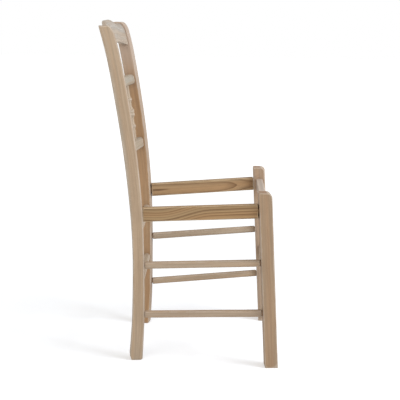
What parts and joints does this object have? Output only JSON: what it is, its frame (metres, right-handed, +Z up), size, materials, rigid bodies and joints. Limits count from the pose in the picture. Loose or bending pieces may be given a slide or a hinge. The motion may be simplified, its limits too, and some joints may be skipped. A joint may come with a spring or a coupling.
{
  "type": "chair",
  "caption": "Unfinished wooden side chair with a raked spindle back, splayed stretchers and an open seat frame ready for a woven seat.",
  "frame": {"origin": "centre of the footprint, on the floor", "axes": "+Z up; -Y is the way the sitter faces, so the back is at +Y; +X is the sitter's left"},
  "size_m": [0.445, 0.4672, 0.874],
  "materials": {
    "beech": "raw, sanded, unfinished",
    "pine": "raw, planed, unfinished"
  },
  "bodies": {
    "root": {"back_post_left": "beech", "back_post_right": "beech", "back_rail_lower": "beech", "back_rail_upper": "beech", "crest_rail": "beech", "front_leg_left": "beech", "front_leg_right": "beech", "front_seat_rail": "beech", "front_stretcher": "beech", "rear_rail": "beech", "rear_stretcher": "beech", "side_rail_left": "pine", "side_rail_right": "pine", "side_stretcher_lower_left": "beech", "side_stretcher_lower_right": "beech", "side_stretcher_upper_left": "beech", "side_stretcher_upper_right": "beech", "spindle_1": "beech", "spindle_2": "beech", "spindle_3": "beech", "spindle_4": "beech"}
  },
  "joints": []
}
